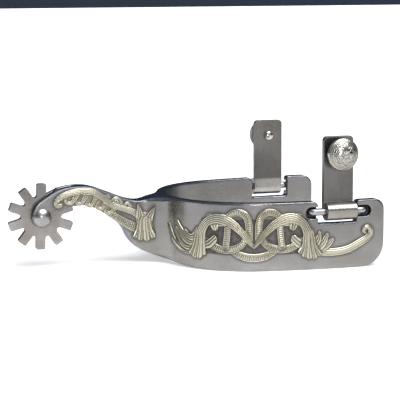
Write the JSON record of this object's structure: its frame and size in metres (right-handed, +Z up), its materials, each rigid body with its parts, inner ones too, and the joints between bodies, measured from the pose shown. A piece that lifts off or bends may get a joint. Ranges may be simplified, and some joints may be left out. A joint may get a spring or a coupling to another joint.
{
  "type": "western spur",
  "caption": "Western spur with a U-shaped heel band, swept shank, spinning toothed rowel, swinging strap hangers with domed buttons, and raised scroll overlays.",
  "frame": {"origin": "on the ground plane of the band's flat lower edge, below the middle of the whole length, on the spur's symmetry plane", "axes": "+X from the rowel towards the open toe end, +Y to the left, +Z up"},
  "size_m": [0.173, 0.1106, 0.063],
  "materials": {
    "brushed_steel": "brushed stainless steel",
    "rowel_steel": "brushed steel, slightly warmer",
    "hanger_steel": "darker brushed steel",
    "wire_steel": "drawn steel wire",
    "overlay_silver": "pale nickel silver, engraved and darkened in the cuts",
    "button_silver": "polished engraved nickel silver"
  },
  "bodies": {
    "spur_frame": {"heel_band": "brushed_steel", "shank": "brushed_steel", "rowel_pin": "rowel_steel", "band_overlay_right": "overlay_silver", "band_overlay_left": "overlay_silver", "shank_overlay_right": "overlay_silver", "shank_overlay_left": "overlay_silver", "hinge_staple_right": "wire_steel", "hinge_staple_left": "wire_steel"},
    "rowel": {"rowel": "rowel_steel"},
    "hanger_right": {"hanger_right": "hanger_steel", "button_stem_right": "hanger_steel", "button_right": "button_silver", "button_rivet_right": "button_silver"},
    "hanger_left": {"hanger_left": "hanger_steel", "button_stem_left": "hanger_steel", "button_left": "button_silver", "button_rivet_left": "button_silver"}
  },
  "joints": [
    {"name": "rowel_spin", "type": "hinge", "parent": "spur_frame", "child": "rowel", "pos_m": [-0.07086, 0, 0.0248], "axis": [0, 1, 0], "continuous": true},
    {"name": "hanger_right_swing", "type": "hinge", "parent": "spur_frame", "child": "hanger_right", "pos_m": [0.06379, -0.048, 0.0275], "axis": [1, 0, 0], "range_deg": [-100, 150]},
    {"name": "hanger_left_swing", "type": "hinge", "parent": "spur_frame", "child": "hanger_left", "pos_m": [0.06139, 0.048, 0.0275], "axis": [-1, 0, 0], "range_deg": [-100, 150]}
  ]
}
